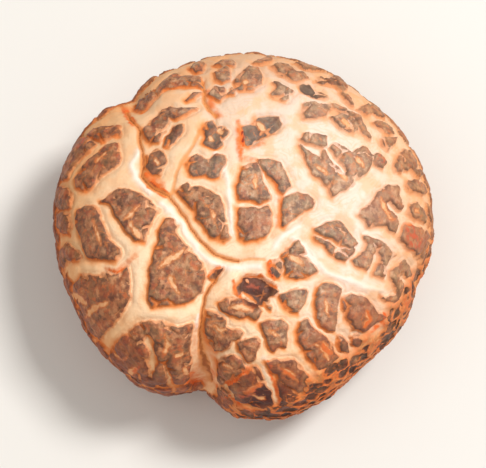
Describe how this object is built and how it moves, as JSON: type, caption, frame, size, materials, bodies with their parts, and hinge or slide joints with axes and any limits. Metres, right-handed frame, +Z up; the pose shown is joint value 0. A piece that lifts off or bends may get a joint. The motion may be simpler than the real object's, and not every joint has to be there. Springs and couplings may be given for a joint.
{
  "type": "dried shiitake mushroom",
  "caption": "Dried flower shiitake with a thick cushion cap cracked into brown plates, inrolled edge, gills and a short cut stem.",
  "frame": {"origin": "on the resting plane under the middle of the cap, where the stem's flat cut stands", "axes": "+Z up along the mushroom's axis from the cut stem to the crown, +Y away from the viewer of the picture, +X to the viewer's right"},
  "size_m": [0.0456, 0.0444, 0.0225],
  "materials": {
    "cap_skin": "dry matt skin: dusty brown plates between cream, fibrous cracks",
    "gill_flesh": "dry matt tan blades, darker between them",
    "stem_flesh": "dry matt tan fibre, darker at the cut"
  },
  "bodies": {
    "root": {"cap": "cap_skin", "gills": "gill_flesh", "stem": "stem_flesh"}
  },
  "joints": []
}
